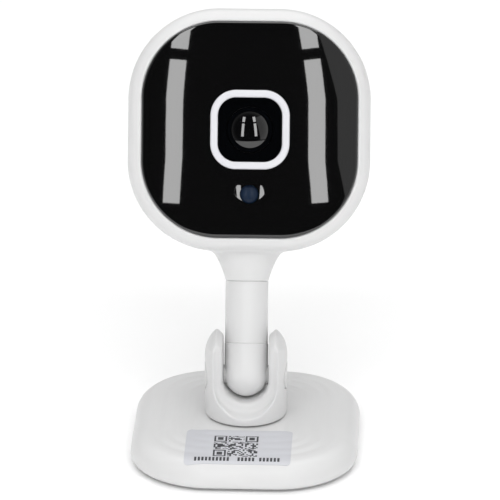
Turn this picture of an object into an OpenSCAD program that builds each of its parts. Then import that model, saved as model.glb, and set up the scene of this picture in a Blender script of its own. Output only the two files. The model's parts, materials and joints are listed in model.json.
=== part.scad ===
// Small indoor security camera: a rounded square head with a glossy front panel, carried on a
// short stem that tilts in a swivelling yoke on a rounded base.
// +Z is up, -Y is the front, and the origin is the centre of the foot pad on the table.

/* [Base] */
// Width of the base, left to right
base_w = 52; // [46:0.5:70]
// Depth of the base, front to back
base_d = 58.5; // [50:0.5:76]
// Corner radius of the base seen from above
base_r = 18.6; // [14:0.1:22]
// Height of the base over the table, with its pad
base_h = 7.6; // [7.4:0.1:12]
// Radius of the gentle fall of the base's top towards its edge
base_dome_r = 130; // [90:1:400]
// Radius of the base's top edge
base_edge_r = 4.4; // [3:0.1:5]
// Radius of the base's bottom edge
base_foot_r = 1.6; // [0.5:0.1:1.9]
// Wall of the base cover
base_wall = 1.8; // [1.4:0.1:2]
// Thickness of the mounting plate inside the base
plate_t = 1.8; // [1.4:0.1:2]
// Thickness of the anti-slip pad under the base
pad_t = 0.6; // [0.4:0.1:0.8]
// Distance of the pad's rim from the mounting plate's rim
pad_inset = 3; // [2:0.1:5]
// Distance between the two wall screws
wall_screw_gap = 32; // [28:0.5:36]
// Diameter of the wall screw holes
wall_screw_d = 3.8; // [3:0.1:4.5]

/* [Label] */
// Width of the identification label
label_w = 24; // [16:0.5:30]
// Depth of the label's flat part, front to back
label_d = 13; // [8:0.5:13.5]
// How far the label lies to the right of the middle
label_x = -0.9; // [-2:0.1:2]
// Distance of the label's rear edge from the swivel axis
label_y = 11; // [10.5:0.1:12]
// Thickness of the label
label_t = 0.12; // [0.05:0.01:0.2]
// Corner radius of the label
label_r = 1.1; // [0.5:0.1:2]

/* [Yoke] */
// Diameter of the round yoke
yoke_d = 19; // [18:0.1:23]
// Height of the tilt axis above the yoke's foot
hinge_h = 9.2; // [9:0.1:12]
// Height of the ears' crest above the tilt axis
ear_h = 10.6; // [9:0.1:12]
// Distance of the ears' crest from the middle
ear_crest_x = 6.8; // [6.6:0.1:7.4]
// Height above the tilt axis where the ears start to narrow
ear_waist = 4.9; // [4:0.1:5.5]
// Rounding of the ears' inner front and rear edges
ear_round = 1.05; // [0.6:0.05:1.1]
// Half depth of the straight part of the ears
ear_flat = 4.2; // [3.6:0.1:4.6]
// How far the yoke is turned from the base at rest
swivel_rest = 0.9; // [0:0.1:30]
// Diameter of the boss that turns in the base cover
boss_d = 8; // [7:0.1:9]

/* [Tilt joint] */
// Diameter of the knuckle
knuckle_d = 10; // [9.4:0.1:10.4]
// Gap between the knuckle and the yoke's channel
knuckle_gap = 0.25; // [0.2:0.05:0.4]
// Length of the knuckle above the tilt axis
knuckle_h = 7.2; // [6.5:0.1:9]
// Diameter of the pivot screw's shank
pivot_d = 3; // [2.5:0.1:3.2]
// Diameter of the pivot screw's head
pivot_head_d = 5.6; // [5:0.1:6]
// Thickness of the ear left under the pivot screw's head
ear_wall = 1.4; // [1.2:0.1:1.7]
// How far the stem leans back from upright at rest
tilt_rest = 21.5; // [0:0.5:60]

/* [Stem] */
// Diameter of the stem
stem_d = 9.85; // [9.2:0.05:10.2]
// Length of the stem
stem_l = 14.2; // [10:0.1:24]
// Diameter of the spigot that the head turns on
spigot_d = 6; // [5:0.1:6.6]
// Length of the flared neck between the stem and the head
neck_h = 6.8; // [5:0.1:9]
// Radius of the neck's hollow curve
neck_curve_r = 19; // [16:0.5:30]
// Flare of the neck where it starts, from the stem's direction
neck_start = 13; // [5:1:15]

/* [Head] */
// How far the head is turned on the stem at rest
pan_rest = 3; // [0:0.5:30]
// Width and height of the head
head_w = 55.5; // [52:0.5:70]
// Corner radius of the head seen from the front
head_r = 20.8; // [19:0.1:22]
// Distance of the head's front lip from the stem axis
lip_front = 10.4; // [10:0.1:13]
// Distance of the seam behind the stem axis
seam_back = 8.8; // [8.6:0.1:12]
// Depth of the rear cover behind the seam
rear_depth = 5; // [4.5:0.1:7]
// Wall of the housing and the rear cover
head_wall = 1.8; // [1.4:0.1:2]
// Thickness of the lip in front of the panel's flange
lip_t = 1.9; // [1.5:0.1:2.2]
// Radius of the housing's front edge
lip_edge_r = 3.4; // [2.4:0.1:3.6]
// Radius of the rear cover's edge
rear_edge_r = 4.4; // [3:0.1:4.4]
// Length of the rear cover's tongue inside the housing
tongue_l = 2.4; // [1.6:0.1:3]

/* [Front panel] */
// Width and height of the glossy front panel
panel_w = 49.3; // [46:0.1:51]
// Corner radius of the panel
panel_r = 17.6; // [16:0.1:18]
// How far the panel bulges in front of the lip
panel_rise = 2; // [1.4:0.1:2.6]
// Radius of the bulge along the panel's rim
panel_dome_r = 90; // [80:1:300]
// Radius of the panel's front edge
panel_edge_r = 0.5; // [0.4:0.1:2.2]
// Thickness of the panel in the middle
panel_t = 2.2; // [1.6:0.1:2.4]
// Thickness of the panel's flange behind the lip
flange_t = 1.2; // [0.8:0.1:1.6]

/* [Lens] */
// Width and height of the ring round the lens
ring_w = 18.1; // [17:0.1:22]
// Corner radius of the ring
ring_r = 5.9; // [5:0.1:7]
// Width of the ring's band
ring_band = 1.7; // [1.2:0.05:1.9]
// How far the ring stands in front of the panel
ring_proud = 0.35; // [0.1:0.05:0.6]
// Diameter of the lens barrel's front
barrel_d = 10.3; // [9.4:0.1:10.6]
// Diameter of the front lens
lens_d = 8.6; // [7.6:0.1:8.8]
// Radius of the front lens's bulge
lens_dome_r = 13; // [5:0.5:20]
// Diameter of the barrel's threaded part
thread_d = 8; // [7:0.1:8.2]
// Distance of the light sensor below the lens
sensor_drop = 14.7; // [14:0.1:16]
// Diameter of the light sensor's window
sensor_d = 4.4; // [3.6:0.1:4.6]
// Diameter of the dish round the light sensor
sensor_dish_d = 6.8; // [5.6:0.1:7]

/* [Electronics] */
// Width and height of the circuit boards
board_w = 38; // [36:0.5:40]
// Corner radius of the circuit boards
board_r = 8; // [4:0.5:10]
// Thickness of the circuit boards
board_t = 1; // [0.8:0.1:1.2]
// Distance between the two boards, face to face
board_gap = 5; // [4.5:0.1:5.5]
// Distance of the board screws from the middle, both ways
post_x = 14.5; // [13.5:0.1:15]
// Diameter of the panel's screw posts
post_d = 4.2; // [3.8:0.1:4.6]
// Diameter of the speaker
speaker_d = 18; // [14:0.5:20]
// Thickness of the speaker
speaker_t = 3.6; // [3:0.1:4]
// Height of the speaker above the head's middle
speaker_y = 8; // [6:0.5:9]
// Width of the power socket's mouth
port_w = 8.9; // [7.5:0.1:9.2]
// Height of the power socket's mouth
port_h = 3.2; // [2.2:0.1:3.2]
// Height of the power socket below the head's middle
port_y = 12; // [11:0.5:13]
// Distance of the reset button beside the power socket
button_x = 9.5; // [8:0.1:11]
// Diameter of the reset button
button_d = 3; // [2:0.1:3.4]
// Travel of the reset button
button_travel = 0.4; // [0.25:0.05:0.5]

/* [Fits] */
// Radial clearance of a part that turns or slides in its hole
running_fit = 0.06; // [0.03:0.01:0.1]
// Clearance of a part that is fixed in its seat
seat_gap = 0.1; // [0.05:0.01:0.15]
// Visible parting gap between parts that turn on each other
part_gap = 0.12; // [0.05:0.01:0.2]

/* [Hidden] */
$fn = 96;
eps = 0.01;
over = 1;

// Base, from the table up
plate_top = pad_t + plate_t;
cover_inner_top = base_h - base_wall;
spring_t = 0.5;
washer_t = 0.8;
boss_bottom = cover_inner_top - spring_t - seat_gap;
washer_bottom = boss_bottom - washer_t;
screw_head_t = 1.2;
washer_rim = 3;
swivel_washer_d = boss_d + 2 * washer_rim;
swivel_screw_d = 2.4;
swivel_screw_l = 5;
countersink_d = 2 * wall_screw_d;
countersink_t = plate_t / 2;

// Yoke and tilt joint
yoke_foot = base_h + part_gap;
hinge_z = yoke_foot + hinge_h;
channel_r = max(knuckle_d, stem_d) / 2 + knuckle_gap;
scoop_r = channel_r + 2 * ear_round;
yoke_r = yoke_d / 2;
ear_arc_r = (pow(yoke_r - ear_crest_x, 2) + pow(ear_h - ear_waist, 2))
    / (2 * (yoke_r - ear_crest_x));
ear_lead = 1.2;
bore_r = pivot_d / 2 + running_fit;
head_clearance = 0.4;
counterbore_d = pivot_head_d + 2 * head_clearance;
pivot_head_t = 1.6;
pivot_nut_t = 1.5;
head_seat_x = channel_r + ear_wall;
cap_t = 0.4;
cap_x = sqrt(pow(yoke_r, 2) - pow(counterbore_d / 2, 2)) - cap_t;
washer_recess = 0.8;
friction_washer_d = 4.4;

// Stem and neck, measured along the stem from the tilt axis
stem_foot = knuckle_h;
stem_top = stem_foot + stem_l;
neck_foot = stem_top + part_gap;
head_bottom = neck_foot + neck_h;
head_c = head_bottom + head_w / 2;
neck_arc_x = stem_d / 2 + neck_curve_r * cos(neck_start);
neck_arc_z = neck_foot - neck_curve_r * sin(neck_start);
cavity_floor = head_bottom + head_wall;
joint_spigot_l = 5;
spigot_top = cavity_floor + spring_t + seat_gap;
pan_washer_rim = 1.7;
pan_washer_d = spigot_d + 2 * pan_washer_rim;
pan_screw_d = 2;
pan_screw_l = 6;
pan_pilot_l = 7;

// Head, measured forward from the stem axis
cavity_w = head_w - 2 * head_wall;
cavity_r = head_r - head_wall;
flange_front = lip_front - lip_t;
flange_back = flange_front - flange_t;
face_z = lip_front + panel_rise;
panel_inner = face_z - panel_t;
panel_rim = 2.5;
panel_cavity_w = panel_w - 2 * panel_rim;
panel_cavity_r = panel_r - panel_rim;
rear_z = -seam_back - rear_depth;
rear_inner = rear_z + head_wall;

// Lens stack
ring_hole_w = ring_w + 2 * seat_gap;
ring_edge_r = ring_band / 3;
dish_h = 0.3;
window_sink = 0.8;
surround_rim = 1;
surround_w = ring_w + 2 * surround_rim;
surround_t = 1;
surround_hole_d = barrel_d + 4 * seat_gap;
barrel_proud = 0.6;
barrel_front = panel_inner + barrel_proud;
lens_sink = 0.2;
lens_seat = barrel_front - lens_sink;
led_board_depth = 5.9;
led_board_front = panel_inner - led_board_depth;
main_board_front = led_board_front - board_t - board_gap;
main_board_back = main_board_front - board_t;
barrel_step_h = 2;
barrel_step = led_board_front + barrel_step_h;
barrel_foot_h = 3;
barrel_foot = main_board_front + barrel_foot_h;
barrel_wall = 0.8;
bore_d = thread_d - 2 * barrel_wall;
lens_rim = 0.8;
middle_lens_r = 6;
rear_lens_r = 7;
holder_w = 14;
holder_base_t = 3.2;
holder_wall = 1.5;
holder_tube_d = thread_d + 2 * holder_wall;
holder_play = 0.3;
holder_roof = 0.8;
holder_cavity_w = 9.2;
board_hole_play = 0.5;
board_hole_d = holder_tube_d + 2 * board_hole_play;
filter_w = 8.4;
filter_t = 0.4;
sensor_chip = [7.2, 6.6, 0.9];
screw_d = 1.6;
post_pilot_l = 4;
board_screw_play = 0.3;

// Places in the assembly
module in_yoke() {
    rotate(swivel_rest) children();
}

module in_arm() {
    in_yoke() translate([0, 0, hinge_z]) rotate([-tilt_rest, 0, 0]) children();
}

module in_pan() {
    in_arm() rotate(pan_rest) children();
}

// X is right, Y is up along the stem and Z is forward, from the head's middle
module in_head() {
    in_pan() translate([0, 0, head_c]) rotate([90, 0, 0]) children();
}

// What a round edge takes off the corner at the origin, the plate being at -X and -Y
module edge_cut(r) {
    translate([-r, -r]) difference() {
        square(r + over);
        circle(r = r);
    }
}

// Half section of a flat plate with a round top edge
module flat_section(r, h, top_r) {
    difference() {
        square([r, h]);
        translate([r, h]) edge_cut(top_r);
    }
}

// Half section of a plate: gently falling top, round top edge and round bottom edge
module domed_section(r, h, dome_r, top_r, foot_r) {
    edge_x = r - top_r;
    edge_z = h - dome_r + sqrt(pow(dome_r - top_r, 2) - pow(edge_x, 2));
    lean = asin(edge_x / (dome_r - top_r));
    difference() {
        intersection() {
            square([r, h]);
            translate([0, h - dome_r]) circle(r = dome_r, $fn = 256);
        }
        difference() {
            polygon([
                [edge_x, edge_z],
                [edge_x + 2 * top_r * sin(lean), edge_z + 2 * top_r * cos(lean)],
                [r + over, h + over],
                [r + over, edge_z]
            ]);
            translate([edge_x, edge_z]) circle(r = top_r);
        }
        if (foot_r > 0) translate([r, 0]) mirror([0, 1]) edge_cut(foot_r);
    }
}

// A plate with round corners, whose edges all round follow the section given as a child
module rounded_plate(w, d, r, h) {
    x = w / 2 - r;
    y = d / 2 - r;
    for (side = [0, 1])
        rotate(180 * side) {
            translate([x, y, 0]) rotate_extrude(angle = 90) children();
            translate([-x, y, 0]) rotate(90) rotate_extrude(angle = 90) children();
            translate([x, y, 0]) rotate([90, 0, 0]) linear_extrude(2 * y) children();
            translate([-x, y, 0]) rotate([90, 0, 90]) linear_extrude(2 * x) children();
        }
    translate([-x, -y, 0]) cube([2 * x, 2 * y, h]);
}

// A plain plate with round corners
module plain_plate(w, d, r, h) {
    linear_extrude(h) rounded_square(w, d, r);
}

module rounded_square(w, d, r) {
    square([w - 2 * r, d], center = true);
    square([w, d - 2 * r], center = true);
    for (x = [-1, 1], y = [-1, 1])
        translate([x * (w / 2 - r), y * (d / 2 - r)]) circle(r = r);
}

module tube(outer_d, inner_d, h) {
    difference() {
        cylinder(d = outer_d, h = h);
        translate([0, 0, -over]) cylinder(d = inner_d, h = h + 2 * over);
    }
}

// A pan head screw, head up, its head's underside at the origin
module screw(shank_d, shank_l, head_d, head_t) {
    difference() {
        cylinder(d = head_d, h = head_t);
        for (turn = [0, 90])
            rotate(turn) translate([-head_d / 4, -head_t / 4, head_t / 2])
                cube([head_d / 2, head_t / 2, head_t]);
    }
    translate([0, 0, -shank_l]) cylinder(d = shank_d, h = shank_l + eps);
}

module at_wall_screws() {
    for (side = [-1, 1]) translate([0, side * wall_screw_gap / 2, 0]) children();
}

module at_posts() {
    for (x = [-1, 1], y = [-1, 1]) translate([x * post_x, y * post_x, 0]) children();
}

// ---- Base ----
plate_w = base_w - 2 * base_wall - 2 * seat_gap;
plate_d = base_d - 2 * base_wall - 2 * seat_gap;
plate_r = base_r - base_wall - seat_gap;

module foot_pad() {
    color("dimgray") difference() {
        plain_plate(plate_w - 2 * pad_inset, plate_d - 2 * pad_inset, plate_r - pad_inset, pad_t);
        at_wall_screws() translate([0, 0, -over])
            cylinder(d = countersink_d, h = pad_t + 2 * over);
    }
}

module base_plate() {
    color("gainsboro") translate([0, 0, pad_t]) difference() {
        plain_plate(plate_w, plate_d, plate_r, plate_t);
        at_wall_screws() {
            translate([0, 0, -over]) cylinder(d = wall_screw_d, h = plate_t + 2 * over);
            translate([0, 0, plate_t - countersink_t])
                cylinder(d = countersink_d, h = countersink_t + over);
        }
    }
}

module base_body() {
    translate([0, 0, pad_t]) rounded_plate(base_w, base_d, base_r, base_h - pad_t)
        domed_section(base_r, base_h - pad_t, base_dome_r, base_edge_r, base_foot_r);
}

module base_cover() {
    ceiling = cover_inner_top - pad_t;
    color("white") difference() {
        base_body();
        translate([0, 0, pad_t - over])
            plain_plate(base_w - 2 * base_wall, base_d - 2 * base_wall, base_r - base_wall,
                plate_t + over + seat_gap);
        translate([0, 0, pad_t - over])
            rounded_plate(base_w - 4 * base_wall, base_d - 4 * base_wall,
                base_r - 2 * base_wall, ceiling + over)
                flat_section(base_r - 2 * base_wall, ceiling + over, base_edge_r - base_wall);
        cylinder(r = boss_d / 2 + running_fit, h = base_h + over);
    }
}

// A flat film, tangent to the base's top under its own middle
module id_label() {
    middle = label_y + label_d / 2;
    reach = middle + base_r - base_d / 2;
    lean = asin(reach / base_dome_r);
    drop = base_dome_r * (1 - cos(lean));
    color("lightsteelblue") translate([label_x, -middle, base_h - drop]) rotate([lean, 0, 0])
        plain_plate(label_w, label_d, label_r, label_t);
}

// ---- Yoke and swivel ----
// Half section of one ear about the tilt axis: radius, then distance from the middle
module ear_section() {
    rotate(90) mirror([0, 1]) difference() {
        intersection() {
            translate([channel_r - over, 0]) square([yoke_r - channel_r + over, ear_h]);
            union() {
                square([yoke_r, ear_waist]);
                translate([yoke_r - ear_arc_r, ear_waist]) circle(r = ear_arc_r);
            }
        }
        polygon([
            [channel_r - over, ear_h - ear_lead - over * ear_lead],
            [ear_crest_x, ear_h + eps],
            [channel_r - over, ear_h + over]
        ]);
    }
}

// Half width of the channel through the yoke, widening at its front and rear mouths
module channel_section() {
    mouth = 2 * yoke_r;
    for (side = [0, 1]) mirror([0, side]) {
        square([channel_r, mouth]);
        difference() {
            translate([0, ear_flat]) square([channel_r + ear_round, mouth]);
            translate([channel_r + ear_round, ear_flat]) circle(r = ear_round);
        }
        translate([channel_r + ear_round, ear_flat + 2 * ear_round]) circle(r = ear_round);
        translate([0, ear_flat + 2 * ear_round]) square([scoop_r, mouth]);
    }
}

module channel() {
    rotate([-90, 0, 0]) rotate_extrude() channel_section();
    linear_extrude(ear_h + over) {
        channel_section();
        mirror([1, 0]) channel_section();
    }
}

module yoke() {
    color("white") in_yoke() {
        difference() {
            intersection() {
                translate([0, 0, yoke_foot]) cylinder(r = yoke_r, h = hinge_h + ear_h + over);
                union() {
                    translate([-yoke_d, -yoke_d, 0]) cube([2 * yoke_d, 2 * yoke_d, hinge_z]);
                    for (side = [-1, 1])
                        translate([0, 0, hinge_z]) rotate([0, side * 90, 0])
                            rotate_extrude() ear_section();
                }
            }
            translate([0, 0, hinge_z]) channel();
            translate([-yoke_d, 0, hinge_z]) rotate([0, 90, 0])
                cylinder(r = pivot_d / 2 + running_fit, h = 2 * yoke_d);
            for (side = [-1, 1])
                translate([0, 0, hinge_z]) rotate([0, side * 90, 0]) {
                    translate([0, 0, head_seat_x]) cylinder(d = counterbore_d, h = yoke_d);
                    cylinder(d = friction_washer_d + 2 * seat_gap, h = channel_r);
                }
            translate([0, 0, boss_bottom - over])
                cylinder(d = swivel_screw_d, h = hinge_z - channel_r - boss_bottom);
        }
        difference() {
            translate([0, 0, boss_bottom]) cylinder(d = boss_d, h = yoke_foot - boss_bottom + eps);
            translate([0, 0, boss_bottom - over])
                cylinder(d = swivel_screw_d, h = hinge_z - channel_r - boss_bottom);
        }
    }
}

module swivel_spring() {
    color("silver") in_yoke() translate([0, 0, boss_bottom])
        tube(swivel_washer_d, boss_d + 2 * seat_gap, spring_t);
}

module swivel_washer() {
    color("silver") in_yoke() translate([0, 0, washer_bottom])
        tube(swivel_washer_d, pivot_d, washer_t);
}

module swivel_screw() {
    color("dimgray") in_yoke() translate([0, 0, washer_bottom]) mirror([0, 0, 1])
        screw(swivel_screw_d, swivel_screw_l, pivot_head_d, screw_head_t);
}

module pivot_screw() {
    color("dimgray") in_yoke() translate([head_seat_x, 0, hinge_z]) rotate([0, 90, 0])
        screw(pivot_d, 2 * head_seat_x + pivot_nut_t, pivot_head_d, pivot_head_t);
}

module pivot_nut() {
    color("dimgray") in_yoke() translate([-head_seat_x, 0, hinge_z]) rotate([0, -90, 0])
        difference() {
            cylinder(d = pivot_head_d, h = pivot_nut_t, $fn = 6);
            translate([0, 0, -over]) cylinder(d = pivot_d, h = pivot_nut_t + 2 * over);
        }
}

module pivot_caps() {
    color("white") in_yoke() intersection() {
        translate([0, 0, yoke_foot]) cylinder(r = yoke_r, h = yoke_d + ear_h);
        for (side = [-1, 1])
            translate([0, 0, hinge_z]) rotate([0, side * 90, 0]) translate([0, 0, cap_x])
                cylinder(d = counterbore_d - 2 * seat_gap, h = yoke_d);
    }
}

// ---- Tilting arm ----
module knuckle() {
    color("white") in_arm() {
        difference() {
            union() {
                sphere(d = knuckle_d);
                cylinder(d = knuckle_d, h = knuckle_h);
            }
            rotate([0, 90, 0]) cylinder(r = bore_r, h = 2 * knuckle_d, center = true);
            for (side = [-1, 1])
                rotate([0, side * 90, 0])
                    translate([0, 0, knuckle_d / 2 - washer_recess])
                        cylinder(d = friction_washer_d + 2 * seat_gap, h = knuckle_d);
        }
        translate([0, 0, knuckle_h - eps])
            cylinder(d = spigot_d, h = joint_spigot_l);
    }
}

module friction_washers() {
    color("dimgray") in_arm() for (side = [-1, 1])
        rotate([0, side * 90, 0]) translate([0, 0, knuckle_d / 2 - washer_recess])
            tube(friction_washer_d, 2 * bore_r,
                channel_r - knuckle_d / 2 + washer_recess - seat_gap / 2);
}

module stem() {
    color("white") in_arm() {
        difference() {
            union() {
                translate([0, 0, stem_foot]) cylinder(d = stem_d, h = stem_l);
                translate([0, 0, stem_top - eps])
                    cylinder(d = spigot_d, h = spigot_top - stem_top + eps);
            }
            translate([0, 0, stem_foot - over])
                cylinder(d = spigot_d + 2 * seat_gap, h = joint_spigot_l + over + seat_gap);
            translate([0, 0, spigot_top - pan_pilot_l])
                cylinder(d = pan_screw_d, h = pan_pilot_l + over);
        }
    }
}

module pan_spring() {
    color("silver") in_arm() translate([0, 0, spigot_top - spring_t])
        tube(pan_washer_d, spigot_d + 2 * seat_gap, spring_t);
}

module pan_washer() {
    color("silver") in_arm() translate([0, 0, spigot_top])
        tube(pan_washer_d, pivot_d, washer_t);
}

module pan_screw() {
    color("dimgray") in_arm() translate([0, 0, spigot_top + washer_t])
        screw(pan_screw_d, pan_screw_l, pivot_head_d - head_clearance, screw_head_t);
}

// ---- Head shells ----
// Half section of the flared neck, its curve drawn as short straight steps
neck_steps = 12;
neck_end = asin((head_bottom - neck_arc_z) / neck_curve_r);
function neck_point(lean) =
    [neck_arc_x - neck_curve_r * cos(lean), neck_arc_z + neck_curve_r * sin(lean)];
neck_top_r = neck_point(neck_end).x;

module neck_section() {
    polygon([
        [0, neck_foot],
        for (i = [0:neck_steps])
            neck_point(neck_start + (neck_end - neck_start) * i / neck_steps),
        [neck_top_r, head_bottom + head_wall / 2],
        [0, head_bottom + head_wall / 2]
    ]);
}

module housing_body() {
    depth = lip_front + seam_back;
    translate([0, 0, -seam_back]) rounded_plate(head_w, head_w, head_r, depth)
        flat_section(head_r, depth, lip_edge_r);
}

module front_housing() {
    color("white") difference() {
        union() {
            in_head() difference() {
                housing_body();
                translate([0, 0, -seam_back - over])
                    plain_plate(cavity_w, cavity_w, cavity_r, seam_back + flange_front + over);
            }
            in_pan() rotate_extrude() neck_section();
        }
        in_head() {
            plain_plate(panel_w + 2 * seat_gap, panel_w + 2 * seat_gap, panel_r + seat_gap,
                lip_front + over);
            card_slot();
        }
        in_pan() translate([0, 0, neck_foot - over])
            cylinder(r = spigot_d / 2 + running_fit, h = neck_h + head_wall + 2 * over);
    }
}

card_slot_w = 12;
card_slot_t = 1.6;
card_slot_play = 0.2;
card_slot_z = main_board_back - card_slot_t / 2 - card_slot_play;

module card_slot() {
    translate([head_w / 2 - 2 * head_wall, -card_slot_w / 2, card_slot_z - card_slot_t / 2])
        cube([3 * head_wall, card_slot_w, card_slot_t]);
}

grille_pitch = 2.4;
grille_hole_d = 1.3;
grille_rim = 2;
mic_x = -11;
mic_hole_d = 1.2;
port_play = 0.4;

module grille_holes(depth) {
    reach = speaker_d / 2 - grille_rim;
    steps = floor(reach / grille_pitch);
    for (i = [-steps:steps], j = [-steps:steps])
        if (norm([i, j]) * grille_pitch <= reach)
            translate([i * grille_pitch, j * grille_pitch, 0]) cylinder(d = grille_hole_d, h = depth);
}

tongue_t = 1.6;

module rear_cover() {
    color("white") in_head() difference() {
        union() {
            translate([0, 0, -seam_back]) mirror([0, 0, 1])
                rounded_plate(head_w, head_w, head_r, rear_depth)
                    flat_section(head_r, rear_depth, rear_edge_r);
            translate([0, 0, -seam_back - eps])
                plain_plate(cavity_w - 2 * seat_gap, cavity_w - 2 * seat_gap,
                    cavity_r - seat_gap, tongue_l);
        }
        translate([0, 0, rear_inner])
            plain_plate(cavity_w - 2 * tongue_t, cavity_w - 2 * tongue_t, cavity_r - tongue_t,
                rear_depth + tongue_l);
        translate([0, speaker_y, rear_z - over]) grille_holes(head_wall + 2 * over);
        translate([0, -port_y, rear_z - over])
            plain_plate(port_w + 2 * port_play, port_h + 2 * port_play, port_h / 2,
                head_wall + 2 * over);
        translate([button_x, -port_y, rear_z - over])
            cylinder(r = button_d / 2 + running_fit, h = head_wall + 2 * over);
        translate([mic_x, -port_y, rear_z - over])
            cylinder(d = mic_hole_d, h = head_wall + 2 * over);
    }
}

// ---- Front panel and lens ----
module front_panel() {
    depth = face_z - flange_back;
    color("black") in_head() {
        difference() {
            union() {
                translate([0, 0, flange_back])
                    rounded_plate(panel_w, panel_w, panel_r, depth)
                        domed_section(panel_r, depth, panel_dome_r, panel_edge_r, 0);
                translate([0, 0, flange_back])
                    plain_plate(cavity_w - 2 * seat_gap, cavity_w - 2 * seat_gap,
                        cavity_r - seat_gap, flange_t);
            }
            translate([0, 0, flange_back - over])
                plain_plate(panel_cavity_w, panel_cavity_w, panel_cavity_r,
                    panel_inner - flange_back + over);
            plain_plate(ring_hole_w, ring_hole_w, ring_r + seat_gap, face_z + over);
            translate([0, -sensor_drop, 0]) {
                cylinder(d = sensor_d, h = face_z + over);
                translate([0, 0, face_z - dish_h])
                    cylinder(d1 = sensor_d, d2 = sensor_dish_d, h = dish_h + eps);
            }
        }
        difference() {
            at_posts() translate([0, 0, led_board_front])
                cylinder(d = post_d, h = panel_inner - led_board_front + eps);
            at_posts() translate([0, 0, led_board_front - over])
                cylinder(d = screw_d, h = post_pilot_l + over);
        }
    }
}

module lens_ring() {
    inner_w = ring_w - 2 * ring_band;
    height = face_z + ring_proud - panel_inner;
    color("white") in_head() translate([0, 0, panel_inner]) difference() {
        rounded_plate(ring_w, ring_w, ring_r, height)
            flat_section(ring_r, height, ring_edge_r);
        translate([0, 0, -over])
            plain_plate(inner_w, inner_w, ring_r - ring_band, height + 2 * over);
    }
}

module lens_surround() {
    color("midnightblue") in_head() translate([0, 0, panel_inner - surround_t]) difference() {
        plain_plate(surround_w, surround_w, ring_r + surround_rim, surround_t);
        translate([0, 0, -over]) cylinder(d = surround_hole_d, h = surround_t + 2 * over);
    }
}

module lens_barrel() {
    color("dimgray") in_head() difference() {
        union() {
            translate([0, 0, barrel_foot]) cylinder(d = thread_d, h = barrel_front - barrel_foot);
            translate([0, 0, barrel_step]) cylinder(d = barrel_d, h = barrel_front - barrel_step);
        }
        translate([0, 0, barrel_step + barrel_wall]) cylinder(d = lens_d, h = barrel_front);
        translate([0, 0, barrel_foot - over]) cylinder(d = bore_d, h = barrel_front);
    }
}

// A lens with a flat back and a bulging front, its back at the origin
module dome_lens(d, bulge_r, rim) {
    rise = bulge_r - sqrt(pow(bulge_r, 2) - pow(d / 2, 2));
    cylinder(d = d, h = rim + eps);
    translate([0, 0, rim]) intersection() {
        translate([0, 0, rise - bulge_r]) sphere(r = bulge_r);
        cylinder(d = d, h = rise + over);
    }
}

module front_lens() {
    color("teal") in_head() translate([0, 0, lens_seat - lens_rim])
        dome_lens(lens_d - 2 * seat_gap, lens_dome_r, lens_rim);
}

module middle_lens() {
    color("teal") in_head() translate([0, 0, barrel_step])
        dome_lens(bore_d - 2 * seat_gap, middle_lens_r, lens_rim);
}

module rear_lens() {
    color("teal") in_head() translate([0, 0, barrel_foot + lens_rim])
        dome_lens(bore_d - 2 * seat_gap, rear_lens_r, lens_rim);
}

module lens_holder() {
    tube_h = barrel_step - main_board_front;
    color("black") in_head() translate([0, 0, main_board_front]) difference() {
        union() {
            translate([-holder_w / 2, -holder_w / 2, 0]) cube([holder_w, holder_w, holder_base_t]);
            cylinder(d = holder_tube_d, h = tube_h - holder_play);
        }
        translate([0, 0, holder_base_t - 2 * holder_play])
            cylinder(d = thread_d + 2 * seat_gap, h = tube_h);
        translate([-holder_cavity_w / 2, -holder_cavity_w / 2, -over])
            cube([holder_cavity_w, holder_cavity_w, holder_base_t - holder_roof + over]);
        translate([0, 0, -over]) cylinder(d = thread_d - 2 * holder_roof, h = tube_h + over);
    }
}

// The filter lies under the holder's roof, over the image sensor
module ir_filter() {
    color("lightcoral") in_head()
        translate([-filter_w / 2, -filter_w / 2,
            main_board_front + holder_base_t - holder_roof - filter_t])
            cube([filter_w, filter_w, filter_t]);
}

module image_sensor() {
    color("darkslategray") in_head()
        translate([-sensor_chip.x / 2, -sensor_chip.y / 2, main_board_front]) cube(sensor_chip);
}

// ---- Boards and what is on them ----
module board(back_z) {
    translate([0, 0, back_z]) difference() {
        plain_plate(board_w, board_w, board_r, board_t);
        translate([0, 0, -over]) at_posts()
            cylinder(d = screw_d + board_screw_play, h = board_t + 2 * over);
    }
}

module main_board() {
    color("darkgreen") in_head() board(main_board_back);
}

module led_board() {
    color("darkgreen") in_head() difference() {
        board(led_board_front - board_t);
        cylinder(d = board_hole_d, h = face_z);
    }
}

ir_led = [2.8, 3.5, 1.8];
ir_led_pitch = 7;
status_led_size = [1.6, 0.8, 0.7];
light_chip = [2, 2, 1];

module ir_leds() {
    color("lightyellow") in_head() for (side = [-1, 1], row = [-1:1])
        translate([side * post_x, row * ir_led_pitch, led_board_front + ir_led.z / 2])
            cube(ir_led, center = true);
}

module status_led() {
    color("lightgreen") in_head()
        translate([-status_led_size.x / 2, post_x - status_led_size.y / 2, led_board_front])
            cube(status_led_size);
}

module sensor_window() {
    color("navy") in_head() translate([0, -sensor_drop, panel_inner])
        cylinder(d = sensor_d - 2 * seat_gap, h = panel_t - window_sink);
}

module light_sensor() {
    color("black") in_head()
        translate([-light_chip.x / 2, -sensor_drop - light_chip.y / 2, led_board_front])
            cube(light_chip);
}

// Each box is its corner on the main board, then its size
connector_at = [-16, -3];
connector = [3, 6, board_gap];
processor_at = [-6, 1];
processor_size = [12, 12, 1.2];
memory_at = [-12.5, 3];
memory_size = [5, 6, 1];
shield_at = [-13, -8];
shield_size = [10, 8, 2];
spacer_play = 0.3;
board_screw_head_d = 3.2;
board_screw_head_t = 1.1;
board_screw_bite = 3.5;

// A box on the back of the main board
module behind_board(corner, size) {
    in_head() translate([corner.x, corner.y, main_board_back - size.z]) cube(size);
}

module board_connector() {
    color("ivory") in_head() translate([connector_at.x, connector_at.y, main_board_front])
        cube(connector);
}

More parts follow.
